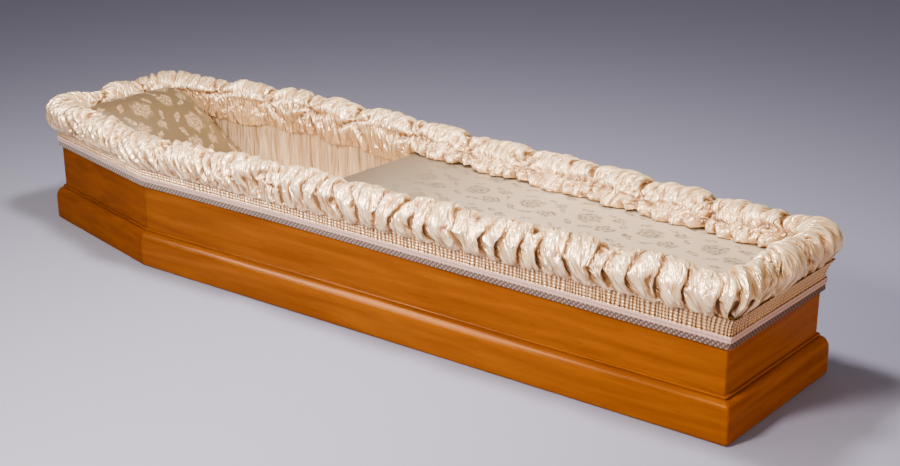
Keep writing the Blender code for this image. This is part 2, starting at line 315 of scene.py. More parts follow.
def hem_height(x):
    """The skirt's hem with its lace falls a little from the head to the foot."""
    return HEM_Z + np.interp(x, HEM_FALLS_BETWEEN, [HEM_FALL, -HEM_FALL])


# The ruffle: satin gathered over the padded roll, tufted inside and hanging as a valance

RUFFLE_STEP = 0.0052
ROLL_ROWS, VALANCE_ROWS = 26, 14
SHIRRING_TOP = 0.247
# The share by which the cloth starts inside its full round, so that its pressure can fill it
SLACK = 0.10
# Lines of the section, each point as metres out of the boards and height
ROLL_LINE = [(0.0080, SHIRRING_TOP), (0.0160, 0.2475), (0.0225, 0.2550), (0.0262, 0.2700), (0.0275, 0.2880),
             (0.0245, 0.3060), (0.0145, 0.3215), (-0.0020, 0.3290), (-0.0190, 0.3270), (-0.0320, 0.3175),
             (-0.0390, 0.3060), (-0.0400, 0.2960)]
OPEN_VALANCE = [(-0.0400, 0.2960), (-0.0425, 0.2820), (-0.0430, 0.2640), (-0.0405, 0.2450),
                (-0.0370, 0.2230)]
LAID_VALANCE = [(-0.0400, 0.2960), (-0.0470, 0.2880), (-0.0540, 0.2790), (-0.0570, 0.2705),
                (-0.0555, 0.2635)]
# Widths of the folds of the roll: at the head, at the foot and on the far side
HEAD_FOLD, FOOT_FOLD, FAR_FOLD = 0.026, 0.052, 0.055
POCKET_PLEAT = 0.0125
VALANCE_PLEAT = 0.034
HEM_POINT = 0.045
GLOW_EDGE_WIDTH = 0.012
TUFTS_ALONG = (-0.785, -0.62, -0.48, -0.315, -0.105, 0.07, 0.245, 0.435, 0.56, 0.735, 0.90)
TUFTS_ACROSS = (-0.075, 0.075)
TUFT_Z = 0.298


def tuft_columns(ring):
    """The columns that carry a tuft."""
    inside = ring.at(np.full((ring.count, 1), -0.04), 0.012)[:, 0]
    found = []
    for x in TUFTS_ALONG:
        for sign in (-1, 1):
            same = np.where(np.sign(inside[:, 1]) == sign, np.abs(inside[:, 0] - x), 9)
            same[np.abs(inside[:, 0]) > 0.93] = 9
            found.append(int(same.argmin()))
    for end in (-1, 1):
        for y in TUFTS_ACROSS:
            same = np.where(inside[:, 0] * end > 0.90, np.abs(inside[:, 1] - y), 9)
            found.append(int(same.argmin()))
    return sorted(found)


def build_ruffle():
    """The roll and its valance: folds laid in code, cloth settled over them, and fine creases last."""
    ring = Round(RUFFLE_STEP, 0.005, 0.02, 0.05)
    rows = ROLL_ROWS + VALANCE_ROWS
    full = smooth_line(ROLL_LINE, ROLL_ROWS)
    chord = full[0] + (full[-1] - full[0]) * np.linspace(0, 1, ROLL_ROWS)[:, None]
    roll = full + (chord - full) * SLACK
    hanging = smooth_line(OPEN_VALANCE, VALANCE_ROWS + 1)[1:]
    lying = smooth_line(LAID_VALANCE, VALANCE_ROWS + 1)[1:]
    over_coverlet = eased((ring.x - COVERLET_LOW.x + 0.012) / 0.03)[:, None, None]
    section = np.concatenate([np.broadcast_to(roll, (ring.count, ROLL_ROWS, 2)),
                              hanging * (1 - over_coverlet) + lying * over_coverlet], 1)
    out, height = section[..., 0].copy(), section[..., 1].copy()
    row = np.arange(rows)
    whole = np.concatenate([full, hanging])
    across = np.concatenate([[0], np.cumsum(np.hypot(*np.diff(whole, axis=0).T))])
    on_roll = np.clip(across / across[ROLL_ROWS - 1], 0, 1)
    down = np.clip((row - ROLL_ROWS + 1) / VALANCE_ROWS, 0, 1)

    # How far each column is from a tuft, along the ring, and how far each row is from the tuft line
    tufts = tuft_columns(ring)
    gap = (ring.along[:, None] - ring.along[tufts][None] + ring.total / 2) % ring.total - ring.total / 2
    nearest = np.abs(gap).argmin(1)
    beside = gap[np.arange(ring.count), nearest]
    tuft_row = int(np.abs(full[:, 1] - TUFT_Z)[ROLL_ROWS // 2:].argmin()) + ROLL_ROWS // 2
    aside = across - across[tuft_row]

    # Folds across the roll: narrow and slanting at the head, wide puffs with deep pockets near the foot
    near = ring.y < 0
    toward_foot = eased((ring.x + 0.70) / 1.0)
    roll_length = across[ROLL_ROWS - 1]

    def fold_width(place):
        share = np.interp(place, ring.along, toward_foot)
        side = np.interp(place, ring.along, near.astype(float))
        return (HEAD_FOLD + (FOOT_FOLD - HEAD_FOLD) * share) * side + FAR_FOLD * (1 - side)
    slant = np.where(near, 0.90 - 1.15 * toward_foot, -0.10)[:, None]
    place = ring.along[:, None] - slant * (0.5 - on_roll) * roll_length
    place = place + ripples(ring.along[:, None], ring.total, across, 0.26, 0.16, 0.009)
    phase = fold_phase(place, ring.total, fold_width)
    valley = 1 - np.abs(np.sin(np.pi * phase))
    ridge = (1 - valley) ** 0.6 - 0.6
    swell = 1 + 0.4 * np.sin(2 * np.pi * (np.floor(phase) * 0.618 % 1))
    foot_of_roll = np.clip(1 - on_roll / 0.36, 0, 1)
    crest = np.sin(np.pi * np.clip(on_roll, 0, 1)) ** 0.6
    size = np.where(near, 0.0066 + 0.0016 * toward_foot, 0.0052)[:, None]
    lift = size * ridge * swell * (0.25 + 0.75 * crest)
    # Pockets and small pleats where the roll meets the shirring
    pocket = (0.005 + 0.004 * toward_foot)[:, None] * valley ** 2.5
    lift = lift - pocket * np.sin(np.pi * np.sqrt(foot_of_roll))
    pleat = fold_phase(place, ring.total, lambda place: POCKET_PLEAT)
    lift = lift + 0.0026 * (np.abs(np.sin(np.pi * pleat)) ** 0.8 - 0.6) * np.sin(np.pi * foot_of_roll ** 0.7)
    lift = lift + ripples(place, ring.total, across, 0.035, 0.12, 0.0010) * crest
    lift = lift * (1 - down)

    # Folds that fan out from each tuft
    distance = np.hypot(beside[:, None], aside[None])
    angle = np.arctan2(aside[None], beside[:, None])
    turn = RANDOM.uniform(0, 2 * np.pi, len(tufts))[nearest][:, None]
    spokes = np.cos(6 * angle + turn) + 0.5 * np.cos(10 * angle - 2 * turn)
    fan = np.exp(-(distance / 0.070) ** 2) * (1 - np.exp(-(distance / 0.014) ** 2)) * 0.0048 * spokes
    pinch = -0.008 * np.exp(-(distance / 0.012) ** 2) - 0.003 * np.exp(-(distance / 0.035) ** 2)
    lift = lift * (1 - np.exp(-(distance / 0.05) ** 2)) + fan + pinch
    # Between two tufts the roll swells
    lift = lift + 0.0045 * (eased(np.abs(beside) / 0.085)[:, None] - 0.6) * crest * (1 - down)

    # The valance swags between tufts, and stands off the wall most in the middle of a swag
    middle = eased(np.abs(beside) / 0.080)
    hang = down ** 1.3
    pleats = np.sin(2 * np.pi * fold_phase(ring.along, ring.total, lambda place: VALANCE_PLEAT))
    lift = lift + down[None] * (0.0028 * pleats * (1 - 0.85 * middle) + 0.003)[:, None]
    covered = over_coverlet[..., 0]
    height += hang * (1 - middle)[:, None] * (0.008 * (1 - covered) + 0.004 * covered)
    out += hang * (1 - middle)[:, None] * (0.007 + 0.004 * covered)
    points_of_hem = fold_phase(ring.along, ring.total, lambda place: HEM_POINT)
    ragged = np.abs(np.sin(np.pi * points_of_hem))[:, None] ** 0.7
    out -= down ** 2 * covered * 0.012 * (ragged - 0.6)
    # At the foot the roll and the top of the band lean outwards
    flare = 0.007 * eased(on_roll / 0.45) - 0.006 * np.sin(np.pi * np.clip(on_roll / 0.3, 0, 1))
    out += eased((ring.x - 0.86) / 0.12)[:, None] * flare * (1 - down)

    # The normal of the section carries the folds
    tangent = np.gradient(np.stack([out, height], -1), axis=1)
    normal = np.stack([tangent[..., 1], -tangent[..., 0]], -1)
    normal /= np.linalg.norm(normal, axis=-1, keepdims=True)
    out += normal[..., 0] * lift
    height += normal[..., 1] * lift
    radius = np.interp(on_roll, [0, 0.35, 0.7, 1], [0.014, 0.050, 0.040, 0.014])[None]
    radius = radius * np.ones((ring.count, 1))
    points = np.concatenate([ring.at(out, radius), height[..., None]], -1)

    obj = skin("ruffle", points)
    held = np.zeros((ring.count, rows))
    held[:, ROLL_ROWS:] = 0.10 + 0.25 * (ring.x < COVERLET_LOW.x)[:, None]
    held[:, -1] = 0.35
    held[:, tuft_row] = 0.12
    held[distance < 0.008] = 1
    held[:, 0] = 1
    held[:, 1] = 0.4
    settled = settle(obj, 0.18, held.ravel(), 8.0, 0.020, bending=0.3).reshape(points.shape)
    bpy.data.objects.remove(obj)
    # The hanging valance has less cloth to spare than the roll
    loose = 1 - eased((row - ROLL_ROWS + 8) / 9)[None, :, None] * (0.85 - 0.30 * over_coverlet)
    settled = points + (settled - points) * loose

    # Sharp little creases, which the cloth's grid is too coarse to find
    fine = finer(settled)
    along = between_columns(ring, ring.along, ring.total)
    across = np.interp(np.arange(2 * rows - 1) / 2, np.arange(rows), across)[None]
    leaning = between_columns(ring, slant[:, 0], slant[0, 0])
    place = along - leaning * (0.5 * roll_length - np.minimum(across, roll_length))
    creases = -0.0014 * np.minimum(np.abs(ripples(place, ring.total, across, 0.034, 0.14, 1.0)), 1.6)
    creases = creases - 0.0007 * np.minimum(np.abs(ripples(place, ring.total, across, 0.050, 0.07, 1.0)), 1.6)
    free = np.clip(np.minimum(across / 0.012, (across[:, -1:] - across) / 0.012), 0, 1)
    free = free * (1 - 0.5 * np.clip((across - roll_length) / 0.02, 0, 1))
    fine = fine + grid_normals(blurred(fine, 2)) * (creases * free)[..., None]

    fine = clear_of_neighbours(fine, ROLL_ROWS * 2 - 1)
    # The depth of the folds is painted into the satin as light and shade
    depth = depth_of(fine)
    normals = grid_normals(fine)
    split = ROLL_ROWS * 2 - 2
    for name, part in (("ruffle_roll", slice(0, split + 1)), ("ruffle_valance", slice(split, None))):
        piece = skin(name, fine[:, part])
        smooth = normals[:, part].reshape(-1, 3).astype(np.float32).tolist()
        piece.data.normals_split_custom_set_from_vertices(smooth)
        lay_out(piece, depth[:, part], along, across[:, part])
        # Painted light: a warm glow along the edge of the valance where it lies on the coverlet
        hem = eased(1 - (across[:, -1:] - across[:, part]) / GLOW_EDGE_WIDTH)
        paint(piece, "hem", hem * np.repeat(over_coverlet[..., 0], 2, axis=0))
        finish_piece(piece, SATIN, replaces="rim_ruffle")


def lay_out(piece, depth, along, across):
    """Keeps the depth of the folds, which the satin paints as light and shade, and the place on the cloth,
    for the satin.
    """
    paint(piece, "depth", depth)
    paint(piece, "along", np.broadcast_to(along, depth.shape))
    paint(piece, "across", np.broadcast_to(across, depth.shape))


# How far the satin keeps off its neighbours, and where it passes the pillow
OFF_BOARDS = 0.0015
OFF_LINING = 0.002
OFF_COVERLET = 0.0012
PILLOW_FOOT_X = -0.62
PILLOW_OUT = -0.036


def clear_of_neighbours(grid, roll_rows):
    """Keeps the satin off the boards, the lining, the pillow and the coverlet."""
    shape = grid.shape
    points = grid.reshape(-1, 3).copy()
    away, normal = out_of_boards(points)
    row = np.tile(np.arange(shape[1]), shape[0])
    outside = row < roll_rows // 2
    low_outside = outside & (points[:, 2] < RIM_Z) & (away < OFF_BOARDS)
    points[low_outside, :2] += normal[low_outside] * (OFF_BOARDS - away[low_outside])[:, None]
    inside = (row >= roll_rows) | ((row > roll_rows * 0.8) & (points[:, 2] < RIM_Z))
    wall = inside & (away > LINING_OUT - OFF_LINING)
    points[wall, :2] += normal[wall] * (LINING_OUT - OFF_LINING - away[wall])[:, None]
    beside_pillow = (row >= roll_rows) & (points[:, 0] < PILLOW_FOOT_X)
    tight = beside_pillow & (away < PILLOW_OUT)
    points[tight, :2] += normal[tight] * (PILLOW_OUT - away[tight])[:, None]
    low = inside & (points[:, 0] > COVERLET_LOW.x - 0.006) & (points[:, 2] < COVERLET_HIGH.z + OFF_COVERLET)
    points[low, 2] = COVERLET_HIGH.z + OFF_COVERLET
    return points.reshape(shape)


def depth_of(grid, times=14, full=0.0032):
    """From 0 on the ridges of the folds to 1 in the hollows between them."""
    below = ((blurred(grid, times) - grid) * grid_normals(blurred(grid, 6))).sum(-1)
    return np.clip(0.5 + below / (2 * full), 0, 1)


# Materials


def linear(code):
    """A colour written as sRGB hex, as the linear values that a shader takes."""
    parts = [int(code[i:i + 2], 16) / 255 for i in (1, 3, 5)]
    return tuple(p / 12.92 if p <= 0.04045 else ((p + 0.055) / 1.055) ** 2.4 for p in parts) + (1.0,)


def add(tree, kind, *inputs, named=None, out=0, stops=None, **settings):
    """Adds a node with its settings, its inputs set or linked and the stops of its ramp; gives an output."""
    node = tree.nodes.new("ShaderNode" + kind)
    for name, value in settings.items():
        setattr(node, name, value)
    for key, value in [*enumerate(inputs), *(named or {}).items()]:
        if isinstance(value, bpy.types.NodeSocket):
            tree.links.new(value, node.inputs[key])
        else:
            node.inputs[key].default_value = value
    if stops:
        elements = node.color_ramp.elements
        for element, (place, colour) in zip(elements, (stops[0], stops[-1])):
            element.position, element.color = place, colour
        for place, colour in stops[1:-1]:
            elements.new(place).color = colour
    return node.outputs[out]


def grey(value):
    return (value, value, value, 1.0)


def shader_of(name, **values):
    """A new material with these uniform values on its shader."""
    material = bpy.data.materials.new(name)
    material.use_nodes = True
    tree = material.node_tree
    shader = tree.nodes["Principled BSDF"]
    for key, value in values.items():
        shader.inputs[key.replace("_", " ")].default_value = value
    return material, tree, shader


def make_satin():
    """Cream polyester satin with painted light and shade: lighter on the ridges, tan in the hollows and warm
    dark brown in the deepest folds, all from the depth of the folds.
    """
    material, tree, shader = shader_of("cream_polyester_satin", Roughness=0.27, Metallic=0.22,
                                       Specular_IOR_Level=0.7)
    depth = add(tree, "Attribute", out="Fac", attribute_name="depth")
    along = add(tree, "Attribute", out="Fac", attribute_name="along")
    across = add(tree, "Attribute", out="Fac", attribute_name="across")
    hem = add(tree, "Attribute", out="Fac", attribute_name="hem")
    # Creases about 16 mm apart that run across the cloth, and finer ones of 7 mm
    cloth = add(tree, "CombineXYZ", along, add(tree, "Math", across, 0.3, operation="MULTIPLY"))
    creases = []
    for scale, distortion in ((62.0, 0.5), (140.0, 0.8)):
        noise = add(tree, "TexNoise", noise_dimensions="2D",
                    named={"Vector": cloth, "Scale": scale, "Detail": 1.0, "Distortion": distortion})
        centred = add(tree, "Math", noise, 0.5, operation="SUBTRACT")
        creases.append(add(tree, "Math", centred, operation="ABSOLUTE"))
    broad, narrow = creases
    # Painted light and shade: pale on the ridges of the folds, painted shade in tan and dark brown in their
    # hollows
    tone = add(tree, "ValToRGB", depth, stops=((0.2, linear("#FAE0BA")), (0.5, linear("#DDB381")),
                                               (0.85, linear("#76522F"))))
    # Painted shade: the hollows of the broad creases are painted darker, towards #C89D6C
    shade = add(tree, "Math", broad, 1.6, operation="MULTIPLY")
    tone = add(tree, "Mix", named={0: shade, 6: tone, 7: linear("#C89D6C")}, out=2, data_type="RGBA")
    # The raw edge of the valance is painted warm orange: painted light, for the light that shines through the
    # cloth
    edge = add(tree, "Math", hem, 0.7, operation="MULTIPLY")
    tone = add(tree, "Mix", named={0: edge, 6: tone, 7: linear("#E2A860")}, out=2, data_type="RGBA")
    # The weave is drawn at 0.7 mm, coarser than real so that it doesn't shimmer
    weave = add(tree, "TexNoise", named={"Vector": add(tree, "TexCoord", out="Object"), "Scale": 1400.0,
                                         "Detail": 1.0})
    relief = add(tree, "Bump", named={"Height": broad, "Distance": -0.0180})
    relief = add(tree, "Bump", named={"Height": narrow, "Distance": -0.0045, "Normal": relief})
    relief = add(tree, "Bump", named={"Height": weave, "Distance": 0.00005, "Normal": relief})
    tree.links.new(tone, shader.inputs["Base Color"])
    tree.links.new(relief, shader.inputs["Normal"])
    return material


def make_wood(name, along, light, dark, gloss):
    """Beech stained honey orange under glossy lacquer: a faint fine grain that runs along the board."""
    material, tree, shader = shader_of(name, Roughness=0.22, IOR=gloss, Specular_Tint=linear("#FFB468"))
    # The grain is drawn out along the board, in bands about 21 mm wide (1 / (16 * 3)). Its pores are
    # 3 mm wide (1 / (16 * 22)), which is coarser than real so that they show
    stretch = (1.0, 16.0, 16.0) if along == "x" else (16.0, 1.0, 16.0)
    place = add(tree, "VectorMath", add(tree, "TexCoord", out="Object"), stretch, operation="MULTIPLY")
    broad = add(tree, "TexNoise", named={"Vector": place, "Scale": 3.0, "Detail": 4.0, "Distortion": 0.4})
    fine = add(tree, "TexNoise", named={"Vector": place, "Scale": 22.0, "Detail": 6.0, "Roughness": 0.65})
    tone = add(tree, "ValToRGB", broad, stops=((0.3, linear(dark)), (0.7, linear(light))))
    marks = add(tree, "ValToRGB", fine, stops=((0.56, grey(0)), (0.72, grey(1))))
    share = add(tree, "Math", marks, 0.55, operation="MULTIPLY")
    tone = add(tree, "Mix", named={0: share, 6: tone, 7: linear("#552905")}, out=2, data_type="RGBA")
    tree.links.new(tone, shader.inputs["Base Color"])
    relief = add(tree, "Bump", named={"Height": fine, "Distance": 0.00008})
    tree.links.new(relief, shader.inputs["Normal"])
    return material


def make_bare_board():
    """Sawn board, unfinished: pale and dull, under the coffin."""
    material, tree, shader = shader_of("bare_sawn_board", Roughness=0.75)
    # Bands about 8 mm wide (1 / (20 * 6)), drawn out along the board
    stretch = (1.0, 20.0, 8.0)
    place = add(tree, "VectorMath", add(tree, "TexCoord", out="Object"), stretch, operation="MULTIPLY")
    grain = add(tree, "TexNoise", named={"Vector": place, "Scale": 6.0, "Detail": 5.0})
    tone = add(tree, "ValToRGB", grain, stops=((0.3, linear("#A98557")), (0.7, linear("#C6A677"))))
    tree.links.new(tone, shader.inputs["Base Color"])
    relief = add(tree, "Bump", named={"Height": grain, "Distance": 0.0004})
    tree.links.new(relief, shader.inputs["Normal"])
    return material


LOOP_WIDTH = 0.0105
LOOP_HEIGHT = 0.0092
FRINGE_HEIGHT = 0.0138
BRAID_HEIGHT = 0.0265


def make_lace():
    """Lilac-white braid with a darker purple-brown looped fringe, matt, with pale dots where loops cross; the
    fringe's darkness is partly painted shade.
    """
    material, tree, shader = shader_of("lilac_lace_braid", Roughness=0.8, Sheen_Weight=0.2)
    level = add(tree, "Attribute", out="Fac", attribute_name="level")
    along = add(tree, "Attribute", out="Fac", attribute_name="along")
    loops = add(tree, "Math", along, 2 * math.pi / LOOP_WIDTH, operation="MULTIPLY")
    loops = add(tree, "Math", loops, operation="SINE")
    rows = add(tree, "Math", level, 2 * math.pi / LOOP_HEIGHT, operation="MULTIPLY")
    rows = add(tree, "Math", rows, operation="SINE")
    crossings = add(tree, "Math", loops, rows, operation="MULTIPLY")
    dots = add(tree, "ValToRGB", crossings, stops=((0.25, grey(0)), (0.55, grey(1))))
    # The fringe's dark ground is partly its purple-brown thread and partly painted shade, for the shadow seen
    # through its open loops
    fringe = add(tree, "Mix", named={0: dots, 6: linear("#3A2018"), 7: linear("#7E5E50")}, out=2,
                 data_type="RGBA")
    ribs = add(tree, "ValToRGB", rows, stops=((0.2, grey(0)), (0.9, grey(1))))
    braid = add(tree, "Mix", named={0: ribs, 6: linear("#C09C90"), 7: linear("#9F7D74")}, out=2,
                data_type="RGBA")
    upper = add(tree, "Math", level, FRINGE_HEIGHT, operation="GREATER_THAN")
    tone = add(tree, "Mix", named={0: upper, 6: fringe, 7: braid}, out=2, data_type="RGBA")
    tree.links.new(tone, shader.inputs["Base Color"])
    return material


# The figures of one spray: centre, half size, turn, petals (0 for a leaf) and how deep the petals are
# parted, in shares of a cell
SPRAY = (
    ((-0.17, 0.08), (0.23, 0.25), 0.3, 6, 0.20), ((0.24, -0.20), (0.18, 0.19), 0.9, 5, 0.22),
    ((0.24, 0.27), (0.12, 0.13), 1.0, 5, 0.24), ((-0.02, -0.33), (0.12, 0.05), 0.5, 0, 0),
    ((-0.33, -0.28), (0.14, 0.055), -0.7, 0, 0), ((0.40, 0.08), (0.10, 0.045), -0.9, 0, 0),
    ((-0.36, 0.38), (0.10, 0.05), 0.5, 0, 0), ((0.04, 0.40), (0.09, 0.045), -0.5, 0, 0))


def draw_figure(tree, place, centre, size, turn, petals, dent):
    """One flower or leaf of the spray: 1 on its threads, 0 on the ground."""
    local = add(tree, "Mapping", place, (*centre, 0), (0, 0, turn), (*size, 1), vector_type="TEXTURE")
    reach = add(tree, "VectorMath", local, out=1, operation="LENGTH")
    if petals:
        east = add(tree, "SeparateXYZ", local)
        angle = add(tree, "Math", east.node.outputs[1], east, operation="ARCTAN2")
        wave = add(tree, "Math", angle, petals / 2, operation="MULTIPLY")
        wave = add(tree, "Math", wave, operation="SINE")
        wave = add(tree, "Math", wave, operation="ABSOLUTE")
        edge = add(tree, "Math", wave, dent, 1 - dent, operation="MULTIPLY_ADD")
        reach = add(tree, "Math", reach, edge, operation="DIVIDE")
        # Dark lines round the flower and between its petals
        rings = add(tree, "Math", reach, 16.0, operation="MULTIPLY")
        rings = add(tree, "Math", rings, operation="SINE")
        parted = add(tree, "Math", wave, 3.0, operation="MULTIPLY")
        parted = add(tree, "Math", 0.45, parted, operation="SUBTRACT")
        dark = add(tree, "Math", rings, parted, operation="MAXIMUM")
        threads = add(tree, "ValToRGB", dark, stops=((0.2, grey(1)), (0.7, grey(0.35))))
    else:
        threads = add(tree, "ValToRGB", reach, stops=((0.3, grey(0.55)), (0.7, grey(1))))
    shape = add(tree, "ValToRGB", reach, stops=((0.90, grey(1)), (1.04, grey(0))))
    return add(tree, "Math", shape, threads, operation="MULTIPLY")


def make_brocade(name, ground, figure, slope, cell, fade=None):
    """Woven brocade: sprays of two roses, a bud and leaves on a plain ground with a soft sheen.

    A cell is metres wide. A fade gives where along X the figures start, how far they take to come out in
    full, and the darker colour of the ground before that: painted shade, which lightens to the ground over
    three times that length.
    """
    material, tree, shader = shader_of(name, Roughness=0.42, Specular_IOR_Level=0.5)
    place = add(tree, "TexCoord", out="Object")
    flat = add(tree, "Mapping", place, (0, 0, 0), (0, slope, 0), (cell, cell * 0.82, 1000.0),
               vector_type="TEXTURE")
    wobble = add(tree, "TexNoise", named={"Vector": flat, "Scale": 6.0, "Detail": 3.0}, out=1,
                 noise_dimensions="2D")
    wobble = add(tree, "VectorMath", wobble, (0.5, 0.5, 0.5), operation="SUBTRACT")
    wobble = add(tree, "VectorMath", wobble, (0.15, 0.15, 0.0), operation="MULTIPLY")
    flat = add(tree, "VectorMath", flat, wobble, operation="ADD")
    # Each row of sprays is half a cell further along than the one before
    row = add(tree, "Math", add(tree, "SeparateXYZ", flat, out=1), operation="FLOOR")
    shift = add(tree, "CombineXYZ", add(tree, "Math", row, 0.5, operation="MULTIPLY"))
    local = add(tree, "VectorMath", flat, shift, operation="ADD")
    local = add(tree, "VectorMath", local, operation="FRACTION")
    local = add(tree, "VectorMath", local, (0.5, 0.5, 0.5), operation="SUBTRACT")
    local = add(tree, "VectorMath", local, (1.0, 1.0, 0.0), operation="MULTIPLY")
    figures = draw_figure(tree, local, *SPRAY[0])
    for settings in SPRAY[1:]:
        figures = add(tree, "Math", figures, draw_figure(tree, local, *settings), operation="MAXIMUM")
    plain = linear(ground)
    if fade:
        start, length, edge = fade
        x = add(tree, "SeparateXYZ", place)
        shown = add(tree, "MapRange", x, start, start + length, interpolation_type="SMOOTHSTEP")
        figures = add(tree, "Math", figures, shown, operation="MULTIPLY")
        # Painted shade: the ground is darker near the start and lightens towards its own colour
        shaded = add(tree, "MapRange", x, start - 0.05, start + 3 * length)
        plain = add(tree, "Mix", named={0: shaded, 6: linear(edge), 7: linear(ground)}, out=2,
                    data_type="RGBA")
    broken = add(tree, "TexNoise", named={"Vector": flat, "Scale": 22.0, "Detail": 2.0},
                 noise_dimensions="2D")
    worn = add(tree, "ValToRGB", broken, stops=((0.40, grey(0.25)), (0.56, grey(1))))
    figures = add(tree, "Math", figures, worn, operation="MULTIPLY")
    tone = add(tree, "Mix", named={0: figures, 6: plain, 7: linear(figure)}, out=2, data_type="RGBA")
    tree.links.new(tone, shader.inputs["Base Color"])
    # The weave is drawn at 1.1 mm, coarser than real so that it doesn't shimmer
    weave = add(tree, "TexNoise", named={"Vector": place, "Scale": 900.0, "Detail": 1.0})
    relief = add(tree, "Bump", named={"Height": figures, "Distance": 0.0005})
    relief = add(tree, "Bump", named={"Height": weave, "Distance": 0.00008, "Normal": relief})
    tree.links.new(relief, shader.inputs["Normal"])
    return material


def finish_piece(piece, material, replaces):
    """Gives a piece its cloth, and lets it ride on the coffin in the place of its plain solid."""
    piece.data.materials.clear()
    piece.data.materials.append(material)
    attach(piece, "root")
    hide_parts(replaces)


PILLOW_SLOPE = math.radians(46)
SATIN = make_satin()
LACE = make_lace()
PILLOW_BROCADE = make_brocade("gold_brocade", "#665438", "#B89873", PILLOW_SLOPE, 0.150)
# The coverlet's ground is painted darker towards its head edge: painted shade
COVERLET_BROCADE = make_brocade("cream_brocade", "#B0A08A", "#5E5347", 0.0, 0.150, (-0.06, 0.14, "#54483C"))


def dress_carcase():
    """Gives the boards, the plinth and the bottom board their wood."""
    # Only the long sides catch the light: the lacquer is duller on the other boards, the shoulders are
    # painted darker as painted shade, and the ends are painted lighter as painted light
    lengthwise = make_wood("honey_lacquered_beech", "x", "#864905", "#6C3703", 1.2)
    shaded_shoulders = make_wood("honey_lacquered_beech_shaded_shoulders", "x", "#7F4306", "#683507", 1.06)
    crosswise_lit = make_wood("honey_lacquered_beech_ends_lit", "y", "#935206", "#783D04", 1.1)
    bare = make_bare_board()
    for name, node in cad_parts.items():
        if name.startswith(("board_", "plinth_")):
            node.data.materials.clear()
            node.data.materials.append(crosswise_lit if name.endswith(("head", "foot")) else
                                       shaded_shoulders if "shoulder" in name else lengthwise)
        elif name == "bottom_board":
            node.data.materials.clear()
            node.data.materials.append(bare)


# The shirred band and the lace under the roll

RIDGE_WIDTH = 0.0085
STITCH_ROW = 0.0068


def build_shirring():
    """The band of small stitched puffs between the roll and the lace."""
    ring = Round(0.0018, 0.0016, 0.006, 0.010)
    rows = 24
    hem = hem_height(ring.x)[:, None]
    share = np.linspace(0, 1, rows)[None]
    height = (SHIRRING_TOP + 0.004) * (1 - share) + (hem + BRAID_HEIGHT - 0.0015) * share
    phase = fold_phase(ring.along, ring.total, lambda place: RIDGE_WIDTH)
    drift = wander(ring.along, ring.total, (40, 71, 113), 0.22)[:, None] * (share - 0.5)
    ridge = np.abs(np.sin(np.pi * (phase[:, None] + drift))) ** 0.7
    stitch = (height - hem) / STITCH_ROW + 0.12 * np.sin(9 * phase)[:, None]
    puff = np.abs(np.sin(np.pi * stitch)) ** 0.6
    out = 0.0028 + 0.0014 * ridge + 0.0034 * ridge * puff + 0.004 * (1 - share) ** 3
    out = out + 0.008 * (1 - share) ** 2 * eased((ring.x - 0.86) / 0.12)[:, None]
    points = np.concatenate([ring.at(out, 0.006), height[..., None]], -1)
    band = skin("shirred_band", points, flip=True)
    # Painted shade: the hollows between the puffs are painted brown, and their tops stay lighter
    lay_out(band, np.clip(1.0 - 0.60 * ridge * puff, 0, 1), 0.0, 0.0)
    finish_piece(band, SATIN, replaces="rim_ruffle")


def build_lace():
    """The braid over the hem of the band, and its looped fringe below."""
    ring = Round(0.0017, 0.0015, 0.007, 0.010)
    hem = hem_height(ring.x)[:, None]
    wave = np.sin(2 * np.pi * ring.along / LOOP_WIDTH)[:, None]
    share = np.linspace(0, 1, 7)[None]
    braid_out = 0.0086 + 0.0009 * np.sin(np.pi * share) + 0.0004 * wave
    braid_level = BRAID_HEIGHT + (FRINGE_HEIGHT - BRAID_HEIGHT) * share + 0 * wave
    fringe_out = 0.0074 + 0.0009 * wave * np.sin(2 * np.pi * share)
    fringe_level = FRINGE_HEIGHT * (1 - share) + 0.0016 * (1 - np.abs(wave)) * share
    for name, out, level in (("lace_braid", braid_out, braid_level),
                             ("lace_fringe", fringe_out, fringe_level)):
        points = np.concatenate([ring.at(out, 0.006), (hem + level)[..., None]], -1)
        piece = skin(name, points, flip=True)
        paint(piece, "level", level)
        paint(piece, "along", np.broadcast_to(ring.along[:, None], level.shape))
        finish_piece(piece, LACE, replaces="lace_trim")


# The lining, the mattress, the coverlet and the pillow

LINING_PLEAT = 0.042


def build_lining():
    """The satin on the inside of the boards, in soft upright pleats."""
    ring = Round(0.0075, 0.006, -0.026, 0.012)
    rows = 13
    height = np.linspace(LINING_HIGH.z, LINING_LOW.z + 0.001, rows)
    phase = fold_phase(ring.along, ring.total, lambda place: LINING_PLEAT)
    pleat = np.abs(np.sin(np.pi * phase)) ** 0.8
    level = np.linspace(0, 1, rows)[None]
    out = LINING_OUT + 0.0012 - (0.0015 + 0.0045 * pleat[:, None]) * (0.6 + 0.4 * np.sin(np.pi * level))
    points = np.concatenate([ring.at(out, 0.010), np.broadcast_to(height, out.shape)[..., None]], -1)
    obj = skin("lining", points)
    held = np.zeros(out.shape)
    held[:, 0] = held[:, -1] = 1
    settled = settle(obj, 0.06, held.ravel(), -3.0, 0.006).reshape(points.shape)
    bpy.data.objects.remove(obj)
    fine = finer(settled)
    flat = fine.reshape(-1, 3)
    away, normal = out_of_boards(flat)
    kept = np.clip(away, LINING_OUT - 0.008, LINING_OUT + 0.0035)
    flat[:, :2] += normal * (kept - away)[:, None]
    fine, away = flat.reshape(fine.shape), kept.reshape(fine.shape[:2])
    lining = skin("pleated_lining", fine)
    along = between_columns(ring, ring.along, ring.total)
    # Painted shade: the hollows of the pleats, nearest the boards, are painted darker
    lay_out(lining, np.clip((away - LINING_OUT + 0.001) / 0.014, 0, 1), along, -0.25 * fine[..., 2])
    finish_piece(lining, SATIN, replaces="wall_lining")


def half_width(x, out):
    """Half the width inside the plan, this far out of the boards."""
    side = np.where(x < PLAN[1][0], 0, 1)
    normal, corner = NORMALS[side], PLAN[side]
    return -((out - (x - corner[:, 0]) * normal[:, 0]) / normal[:, 1] + corner[:, 1])


